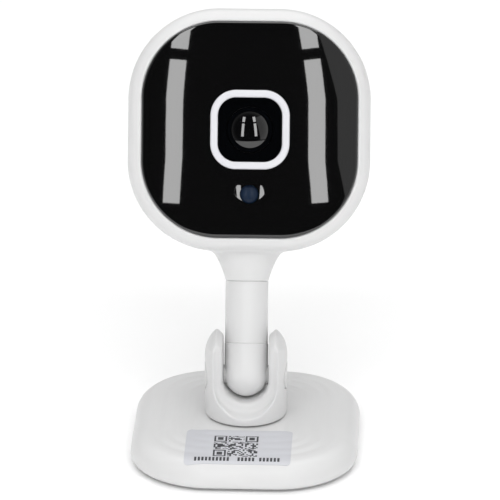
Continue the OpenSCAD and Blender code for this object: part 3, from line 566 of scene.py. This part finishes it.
# ---- Base ----
def make_base_cover():
    """The base: round edges, gently falling top with shallow rings, hollow underneath."""
    base = settings()[0]
    low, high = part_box("base_cover")
    spread = ((high.x - low.x) / 2 - base.corner, (high.y - low.y) / 2 - base.corner)
    top = crowned(base.corner, high.z, base.crown, base.edge, 96)
    plain_rim = 0.3 * MM
    rings_start = base.corner - base.edge - plain_rim

    def rippled(radius, height):
        """A point of the top, lowered where the hollow of a ring passes."""
        if radius > rings_start:
            return radius, height
        wave = (1 - math.cos(2 * math.pi * (rings_start - radius) / base.ripple_pitch)) / 2
        return radius, height - base.ripple_depth * wave

    inner = base.corner - base.wall
    ceiling = high.z - base.wall
    outline = [(0, ceiling), (inner - base.edge, ceiling), (inner, ceiling - base.edge), (inner, low.z)]
    outline += arc((base.corner - base.foot, low.z + base.foot), base.foot, -math.pi / 2, 0, 6)
    outline += [rippled(*point) for point in top]
    piece = turned("base_cover_shell", outline, spread=spread)
    smooth(piece)
    finish_piece(piece, "base", "white_abs", MATERIALS["white_abs"], "base_cover")
    return piece


def make_label(cover):
    """The label: thin film with round corners that lies on the base and over its front edge."""
    base = settings()[0]
    low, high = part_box("id_label")
    drop_height = 2 * MM
    middle = Vector(((low.x + high.x) / 2, high.y - base.label_length / 2, high.z + drop_height))
    half_x, half_y = base.label_width / 2, base.label_length / 2
    select_only(None)
    bpy.ops.mesh.primitive_plane_add(size=1, location=middle)
    piece = bpy.context.object
    piece.name = piece.data.name = "label_film"
    bpy.ops.object.mode_set(mode="EDIT")
    bpy.ops.transform.resize(value=(base.label_width, base.label_length, 1), center_override=middle)
    bpy.ops.mesh.bevel(affect="VERTICES", offset=base.label_corner, segments=6)
    for axis, half, pitch in ((0, half_x, 1.5 * MM), (1, half_y, 0.5 * MM)):
        cuts = int(2 * half / pitch)
        normal = Vector((axis == 0, axis == 1, 0))
        for cut in range(1, cuts):
            bpy.ops.mesh.select_all(action="SELECT")
            at = middle + normal * (2 * half * cut / cuts - half)
            bpy.ops.mesh.bisect(plane_co=at, plane_no=normal)
    bpy.ops.object.mode_set(mode="OBJECT")
    set_in(piece, BASE)
    apply_modifier(piece, "SHRINKWRAP", target=cover, wrap_method="PROJECT", use_project_z=True,
                   use_negative_direction=True, use_positive_direction=False)
    apply_modifier(piece, "SOLIDIFY", thickness=base.label_film, offset=1)
    smooth(piece)
    finish_piece(piece, "base", "label_film", MATERIALS["label_film"], "id_label")


# ---- Yoke and arm ----
def make_yoke():
    """The yoke: the frame's own shape as one skin, with its hard edges softened."""
    mesh = frame["nodes"]["yoke"].data.copy()
    piece = bpy.data.objects.new("yoke_shell", mesh)
    bpy.context.scene.collection.objects.link(piece)
    select_only(piece)
    bpy.ops.object.mode_set(mode="EDIT")
    bpy.ops.mesh.select_all(action="SELECT")
    bpy.ops.mesh.remove_doubles(threshold=WELD)
    bpy.ops.object.mode_set(mode="OBJECT")
    voxel, rounds = 0.2 * MM, 40
    apply_modifier(piece, "REMESH", mode="VOXEL", voxel_size=voxel, use_smooth_shade=True)
    apply_modifier(piece, "SMOOTH", factor=0.5, iterations=rounds)
    finish_piece(piece, "yoke", "white_abs", MATERIALS["white_abs"], "yoke")


def make_arm():
    """The knuckle and the stem, each with a fine chamfer at the parting lines."""
    chamfer = 0.14 * MM
    parting_gap = 0.06 * MM
    low, high = box_in(ARM, "knuckle")
    stem_low, stem_high = box_in(ARM, "stem")
    radius = (high.x - low.x) / 2
    joint = stem_low.z
    ball = arc((0, 0), radius, -math.pi / 2, 0, 24)
    outline = ball + [(radius, joint - chamfer), (radius - chamfer, joint), (0, joint)]
    knuckle = turned("knuckle_shell", outline, steps=96)
    smooth(knuckle)
    set_in(knuckle, ARM)
    finish_piece(knuckle, "arm", "white_abs", MATERIALS["white_abs"], "knuckle")
    stem_r = (stem_high.x - stem_low.x) / 2
    neck_low, _ = box_in(ARM, "front_housing")
    top = neck_low.z - parting_gap
    outline = [(0, joint), (stem_r - chamfer, joint), (stem_r, joint + chamfer),
               (stem_r, top - chamfer), (stem_r - chamfer, top), (0, top)]
    stem = turned("stem_shell", outline, steps=96)
    smooth(stem)
    set_in(stem, ARM)
    finish_piece(stem, "arm", "white_abs", MATERIALS["white_abs"], "stem")


# ---- Head ----
def make_neck(neck_foot, stem_r, bottom, head):
    """The flared neck, turned, then drawn in from front to back where it meets the housing."""
    start = head.neck_start
    middle = (stem_r + head.neck_curve * math.cos(start), neck_foot - head.neck_curve * math.sin(start))
    fillet_lean = math.radians(32)
    fillet_steps = 10
    root = 0.03 * MM
    curve = arc(middle, -head.neck_curve, start, fillet_lean, 14)
    curve = [(x, 2 * middle[1] - z) for x, z in curve]
    foot_x, foot_z = curve[-1]
    rest = bottom - foot_z + root
    fillet_r = rest / (1 - math.sin(fillet_lean))
    for step in range(1, fillet_steps + 1):
        lean = fillet_lean + (math.pi / 2 - fillet_lean) * step / fillet_steps
        curve.append((foot_x + fillet_r * (math.cos(fillet_lean) - math.cos(lean)),
                      foot_z + fillet_r * (math.sin(lean) - math.sin(fillet_lean))))
    chamfer = 0.12 * MM
    curve[0] = (curve[0][0] - chamfer, curve[0][1])
    top = bottom + head.wall / 2
    outline = [(0, neck_foot)] + curve + [(curve[-1][0], top), (0, top)]
    piece = turned("neck", outline, steps=96)
    bpy.ops.object.mode_set(mode="EDIT")
    widest = curve[-1][0]
    for radius, height in curve[1:]:
        squeeze = 1 - (1 - head.neck_depth) * ((radius - stem_r) / (widest - stem_r))
        pick(piece, lambda point: abs(point.z - height) < WELD)
        bpy.ops.transform.resize(value=(1, squeeze, 1), center_override=(0, 0, height))
    pick(piece, lambda point: point.z > bottom + head.wall / 4)
    bpy.ops.transform.resize(value=(1, head.neck_depth, 1), center_override=(0, 0, bottom))
    bpy.ops.object.mode_set(mode="OBJECT")
    return piece


def make_housing():
    """The front housing: a lipped shell joined to its flared neck, with the card slot."""
    head = settings()[1]
    low, high = box_in(HEAD, "rear_cover")
    housing_low, housing_high = box_in(HEAD, "front_housing")
    half = (high.x - low.x) / 2
    seam = housing_low.z
    front = housing_high.z
    lip_inner = head.panel_corner + head.fit
    inner = head.corner - head.wall
    wall_back = front - head.lip
    chamfer = 0.15 * MM
    shoulder = math.radians(62)
    slope_reach, slope_share = 1.6, 0.62
    crest_drop = 0.02 * MM
    outline = [(inner, wall_back), (inner, seam), (head.corner - chamfer, seam),
               (head.corner, seam + chamfer)]
    outline += arc((head.corner - head.edge, front - head.edge), head.edge, 0, shoulder, 12)
    last_x, last_z = outline[-1]
    crest_x = lip_inner + head.crest
    outline += [(lip_inner + head.crest * slope_reach, last_z + slope_share * (front - last_z)),
                (crest_x, front - crest_drop)]
    outline += arc((crest_x, front - head.crest), head.crest, math.pi / 2, math.pi, 4)[1:]
    outline += [(lip_inner, wall_back)]
    side = half - head.corner
    piece = turned("housing_shell", outline, spread=(side, side), closed=True)
    set_in(piece, HEAD)
    arm_low, _ = box_in(ARM, "front_housing")
    stem_low, stem_high = box_in(ARM, "stem")
    neck = make_neck(arm_low.z, (stem_high.x - stem_low.x) / 2, HEAD_MIDDLE - half, head)
    set_in(neck, NECK)
    combine(piece, neck, "UNION")
    slot_low, slot_high = box_in(HEAD, "card_socket")
    select_only(None)
    bpy.ops.mesh.primitive_cube_add(size=1, location=(half, 0, (slot_low.z + slot_high.z) / 2))
    slot = bpy.context.object
    bpy.ops.object.mode_set(mode="EDIT")
    bpy.ops.transform.resize(value=(4 * head.wall, head.slot_width, head.slot_height))
    slot_edge = 0.25 * MM
    bpy.ops.mesh.bevel(offset=slot_edge, segments=3)
    bpy.ops.object.mode_set(mode="OBJECT")
    set_in(slot, HEAD)
    combine(piece, slot, "DIFFERENCE")
    smooth(piece)
    finish_piece(piece, "head", "white_abs", MATERIALS["white_abs"], "front_housing")


def make_panel():
    """The glossy panel: a shallow pillow with the ring's hole and the light sensor's dish."""
    head = settings()[1]
    low, high = box_in(HEAD, "front_panel")
    ring_low, ring_high = box_in(HEAD, "lens_ring")
    window_low, window_high = box_in(HEAD, "sensor_window")
    inner = ring_low.z
    corner = head.panel_corner
    cavity = corner - head.panel_rim
    back = box_in(HEAD, "front_housing")[1].z - head.lip
    outline = [(0, inner), (cavity, inner), (cavity, back), (corner, back)]
    outline += crowned(corner, high.z, head.panel_crown, head.panel_edge, 48)
    side = head.panel_width / 2 - corner
    piece = turned("panel_shell", outline, spread=(side, side))
    bpy.ops.object.mode_set(mode="EDIT")
    for normal in (Vector((1, 0, 0)), Vector((0, 1, 0))):
        for cut in range(-FACE_CUTS, FACE_CUTS + 1):
            bpy.ops.mesh.select_all(action="SELECT")
            bpy.ops.mesh.bisect(plane_co=normal * (side * cut / (FACE_CUTS + 0.5)), plane_no=normal)
    bpy.ops.object.mode_set(mode="OBJECT")
    hole_corner = head.ring_corner + head.fit
    hole_side = (ring_high.x - ring_low.x) / 2 - head.ring_corner
    bottom, top = inner - MM, high.z + MM
    hole = turned("ring_hole", [(0, bottom), (hole_corner, bottom), (hole_corner, top), (0, top)],
                  steps=96, spread=(hole_side, hole_side))
    combine(piece, hole, "DIFFERENCE")
    window_r = (window_high.x - window_low.x) / 2 + head.fit
    window_y = (window_low.y + window_high.y) / 2
    drop = abs(window_y) - side
    face = high.z - head.panel_crown + math.sqrt(head.panel_crown ** 2 - drop ** 2)
    depth = head.dish_depth
    dish_r = head.dish / 2
    rise = (dish_r ** 2 - window_r ** 2 - depth ** 2) / (2 * depth)
    bowl = math.hypot(dish_r, rise)
    start = math.atan2(-(rise + depth), window_r)
    end = math.atan2(-rise, dish_r)
    wall = arc((0, face + rise), bowl, start, end, 12)
    outline = [(0, inner - MM), (window_r, inner - MM)] + wall
    outline += [(dish_r + depth, face + depth), (0, face + depth)]
    dish = turned("dish_cut", outline, steps=96)
    dish.location.y += window_y
    set_in(dish, BASE)
    combine(piece, dish, "DIFFERENCE")
    smooth(piece)
    set_in(piece, HEAD)
    finish_piece(piece, "head", "black_gloss", MATERIALS["black_gloss"], "front_panel")


def make_lens():
    """The ring round the lens, the front lens's dome and the light sensor's window."""
    head = settings()[1]
    low, high = box_in(HEAD, "lens_ring")
    side = (high.x - low.x) / 2 - head.ring_corner
    outer, inner = head.ring_corner, head.ring_corner - head.ring_band
    round_edge = head.ring_edge
    outline = [(outer, low.z)]
    outline += arc((outer - round_edge, high.z - round_edge), round_edge, 0, math.pi / 2, 6)
    outline += arc((inner + round_edge, high.z - round_edge), round_edge, math.pi / 2, math.pi, 6)
    outline += [(inner, low.z)]
    ring = turned("lens_ring_trim", outline, spread=(side, side), closed=True)
    smooth(ring)
    set_in(ring, HEAD)
    finish_piece(ring, "head", "white_gloss", MATERIALS["white_gloss"], "lens_ring")

    low, high = box_in(HEAD, "front_lens")
    radius = (high.x - low.x) / 2
    bulge = head.lens_bulge
    rim = box_in(HEAD, "lens_barrel")[1].z - head.lens_sink
    middle = (0, rim - math.sqrt(bulge ** 2 - radius ** 2))
    edge = math.acos(radius / bulge)
    outline = [(0, low.z), (radius, low.z)] + arc(middle, bulge, edge, math.pi / 2, 32)
    lens = turned("front_lens_dome", outline, steps=96)
    smooth(lens)
    set_in(lens, HEAD)
    finish_piece(lens, "head", "lens_glass", MATERIALS["lens_glass"], "front_lens")

    low, high = box_in(HEAD, "sensor_window")
    radius = (high.x - low.x) / 2
    crown = 6 * MM
    middle = (0, high.z - crown)
    edge = math.acos(radius / crown)
    outline = [(0, low.z), (radius, low.z)] + arc(middle, crown, edge, math.pi / 2, 12)
    window = turned("sensor_window_dome", outline, steps=64)
    window.location.y += (low.y + high.y) / 2
    set_in(window, BASE)
    smooth(window)
    set_in(window, HEAD)
    finish_piece(window, "head", "blue_window", MATERIALS["blue_window"], "sensor_window")


def finish_frame_parts():
    """Gives each frame node that stays its own material."""
    for name, node in frame["nodes"].items():
        slot = CARRIED.get(name)
        if slot:
            node.data.materials.clear()
            node.data.materials.append(MATERIALS[slot])


CARRIED = {
    "foot_pad": "pad_rubber", "base_plate": "white_abs", "swivel_spring": "plated_steel",
    "swivel_washer": "plated_steel", "swivel_screw": "plated_steel", "pivot_screw": "plated_steel",
    "pivot_nut": "plated_steel", "pivot_caps": "white_abs", "friction_washers": "filled_nylon",
    "pan_spring": "plated_steel", "pan_washer": "plated_steel", "pan_screw": "plated_steel",
    "rear_cover": "white_abs", "lens_surround": "black_trim", "lens_barrel": "black_trim",
    "middle_lens": "lens_glass", "rear_lens": "lens_glass", "lens_holder": "dark_plastic",
    "ir_filter": "filter_glass", "image_sensor": "chip", "main_board": "board",
    "led_board": "board", "ir_leds": "led_resin", "status_led": "led_resin",
    "light_sensor": "chip", "board_connector": "nylon", "board_spacers": "brass",
    "board_screws": "plated_steel", "processor": "chip", "memory_chip": "chip",
    "wifi_shield": "plated_steel", "wifi_antenna": "antenna_film", "antenna_lead": "dark_plastic",
    "speaker": "speaker_frame", "speaker_gasket": "foam", "microphone": "plated_steel",
    "mic_boot": "pad_rubber", "usb_port": "plated_steel", "card_socket": "plated_steel",
    "reset_switch": "chip", "reset_button": "dark_plastic",
}


# ---- Stage ----
def way(azimuth, elevation):
    """The direction from the object towards a point round it. Azimuth 0 is the front."""
    return Vector((math.sin(azimuth) * math.cos(elevation),
                   -math.cos(azimuth) * math.cos(elevation), math.sin(elevation)))


def add_softbox(name, azimuth, elevation, width, height, brightness):
    """A rectangular softbox that faces the head and has this brightness all over."""
    back = way(azimuth, elevation)
    light = bpy.data.lights.new(name, "AREA")
    light.shape = "RECTANGLE"
    light.size, light.size_y = width, height
    light.energy = brightness * math.pi * width * height
    box = bpy.data.objects.new(name, light)
    box.location = HEAD.translation + back * LIGHT_DISTANCE
    box.rotation_euler = back.to_track_quat("Z", "Y").to_euler()
    bpy.context.scene.collection.objects.link(box)
    return box


def make_stage():
    """The floor, the room's light, the softboxes and the camera."""
    stage = settings()[3]
    scene = bpy.context.scene
    scene.view_settings.view_transform = "Standard"
    bpy.ops.object.select_all(action="DESELECT")
    floor_size = 8
    bpy.ops.mesh.primitive_plane_add(size=floor_size, location=(0, 0, 0))
    floor = bpy.context.object
    floor.name = "floor"
    material, tree, shader, position = start_material(
        "matt_white_floor",
        {"Roughness": 0.9, "Emission Color": (1, 1, 1, 1), "Emission Strength": stage.glow})
    patches = add_node(tree, "TexNoise", {"Scale": 2}, {"Vector": position})
    tone = add_node(tree, "Mix", {"data_type": "RGBA", 6: srgb("#fbfbfb"), 7: srgb("#fdfdfd")},
                    {0: patches.outputs["Fac"]})
    tree.links.new(tone.outputs[2], shader.inputs["Base Color"])
    floor.data.materials.append(material)

    # Beside the camera stand two upright softboxes, each with a smaller one above it. They show
    # in the gloss only. Further round stand the softboxes at the left and right.
    degree = math.radians(1)
    camera_side, up = stage.azimuth, stage.elevation
    strip_aside, strip_shift, strip_width = 13.9, 1.7, 0.18
    strips = (("strip_low", -2.5 * degree, 0.92), ("strip_high", 19 * degree, 0.36))
    side_aside, side_up, side_width, side_height = 66, 22 * degree, 0.5, 1.3
    for side in (-1, 1):
        strip_side = camera_side + (strip_aside * side + strip_shift) * degree
        for name, rise, height in strips:
            strip = add_softbox(name, strip_side, up + rise, strip_width, height, stage.strips)
            strip.visible_diffuse = False
        add_softbox("side_box", camera_side + side * side_aside * degree, side_up,
                    side_width, side_height, stage.sides)
    # Two wide fills in front, low and high, polarised so that they leave no mirror image
    fill_width = 2.4
    for name, rise, height, brightness in (("front_fill", 6 * degree, 0.5, stage.fill),
                                           ("upper_fill", 52 * degree, 0.8, stage.upper)):
        fill = add_softbox(name, camera_side, rise, fill_width, height, brightness)
        fill.visible_glossy = False
    # A dim wall at the right that shows in the gloss only, and a broad box overhead
    wall_aside, wall_width, wall_height = 36 * degree, 0.9, 1.7
    wall = add_softbox("right_wall", camera_side + wall_aside, up, wall_width, wall_height,
                       stage.wall)
    wall.visible_diffuse = False
    top_up, top_size = 75 * degree, 2.2
    add_softbox("top_box", math.pi, top_up, top_size, top_size, stage.top)

    world = bpy.data.worlds.new("room")
    scene.world = world
    world.use_nodes = True
    tree = world.node_tree
    tree.nodes.clear()
    direction = add_node(tree, "TexCoord").outputs["Generated"]
    # The room is dark behind the camera and brightens away from it, by the angle's cosine
    towards = way(stage.azimuth, stage.elevation)
    bright_from, dark_from = 0.72, 0.9
    ahead = add_node(tree, "VectorMath", {"operation": "DOT_PRODUCT", 1: towards}, {0: direction})
    level = add_node(tree, "MapRange", {"interpolation_type": "SMOOTHSTEP",
                                        "From Min": bright_from, "From Max": dark_from,
                                        "To Min": stage.room, "To Max": stage.dark},
                     {"Value": ahead.outputs["Value"]})
    room = add_node(tree, "Background", {"Color": (1, 1, 1, 1)},
                    {"Strength": level.outputs["Result"]})
    plain = add_node(tree, "Background", {"Strength": 1.0, "Color": (1, 1, 1, 1)})
    ray = add_node(tree, "LightPath").outputs["Is Camera Ray"]
    both = add_node(tree, "MixShader", links={0: ray, 1: room.outputs[0], 2: plain.outputs[0]})
    add_node(tree, "OutputWorld", links={"Surface": both.outputs[0]})

    camera = bpy.data.objects.new("camera", bpy.data.cameras.new("camera"))
    scene.collection.objects.link(camera)
    right = Vector((math.cos(stage.azimuth), math.sin(stage.azimuth), 0))
    aim = UP * stage.aim_height + right * stage.aim_side
    camera.location = way(stage.azimuth, stage.elevation) * stage.distance
    camera.rotation_euler = (camera.location - aim).to_track_quat("Z", "Y").to_euler()
    camera.data.lens = stage.lens
    camera.data.sensor_width = 36
    camera.data.clip_start, camera.data.clip_end = 0.01, 50
    scene.camera = camera


# ---- Operators and panel ----
class BaseOperator(bpy.types.Operator):
    """Model the base cover and its label"""
    bl_idname = "security_camera.base"
    bl_label = "Base and label"

    def execute(self, context):
        make_label(make_base_cover())
        return {"FINISHED"}


class YokeOperator(bpy.types.Operator):
    """Model the swivelling yoke"""
    bl_idname = "security_camera.yoke"
    bl_label = "Yoke"

    def execute(self, context):
        make_yoke()
        return {"FINISHED"}


class ArmOperator(bpy.types.Operator):
    """Model the knuckle and the stem"""
    bl_idname = "security_camera.arm"
    bl_label = "Knuckle and stem"

    def execute(self, context):
        make_arm()
        return {"FINISHED"}


class HousingOperator(bpy.types.Operator):
    """Model the front housing and its neck"""
    bl_idname = "security_camera.housing"
    bl_label = "Front housing"

    def execute(self, context):
        make_housing()
        return {"FINISHED"}


class PanelOperator(bpy.types.Operator):
    """Model the glossy front panel"""
    bl_idname = "security_camera.panel"
    bl_label = "Front panel"

    def execute(self, context):
        make_panel()
        return {"FINISHED"}


class LensOperator(bpy.types.Operator):
    """Model the lens ring, the front lens and the light sensor's window"""
    bl_idname = "security_camera.lens"
    bl_label = "Lens and light sensor"

    def execute(self, context):
        make_lens()
        return {"FINISHED"}


class FrameOperator(bpy.types.Operator):
    """Finish the parts that are shown as the frame has them"""
    bl_idname = "security_camera.frame_parts"
    bl_label = "Frame parts"

    def execute(self, context):
        finish_frame_parts()
        return {"FINISHED"}


class StageOperator(bpy.types.Operator):
    """Set up the floor, the lights and the camera"""
    bl_idname = "security_camera.stage"
    bl_label = "Stage"

    def execute(self, context):
        make_stage()
        return {"FINISHED"}


OPERATORS = (BaseOperator, YokeOperator, ArmOperator, HousingOperator, PanelOperator, LensOperator,
             FrameOperator, StageOperator)
GROUPS = {"security_base": BaseSettings, "security_head": HeadSettings,
          "security_finish": FinishSettings, "security_stage": StageSettings}


class SecurityCameraPanel(bpy.types.Panel):
    """Lists the steps that build the camera"""
    bl_idname = "VIEW3D_PT_security_camera"
    bl_label = "Security camera"
    bl_space_type = "VIEW_3D"
    bl_region_type = "UI"
    bl_category = "Security camera"

    def draw(self, context):
        for operator in OPERATORS:
            self.layout.operator(operator.bl_idname)


def register():
    for cls in (*GROUPS.values(), *OPERATORS, SecurityCameraPanel):
        bpy.utils.register_class(cls)
    for name, group in GROUPS.items():
        setattr(bpy.types.Scene, name, bpy.props.PointerProperty(type=group))


def unregister():
    for name in GROUPS:
        delattr(bpy.types.Scene, name)
    for cls in (SecurityCameraPanel, *reversed(OPERATORS), *GROUPS.values()):
        bpy.utils.unregister_class(cls)


def main():
    """Builds the whole camera and its stage."""
    register()
    MATERIALS.update(make_materials())
    for operator in OPERATORS:
        group, name = operator.bl_idname.split(".")
        getattr(getattr(bpy.ops, group), name)()


if __name__ == "__main__":
    main()
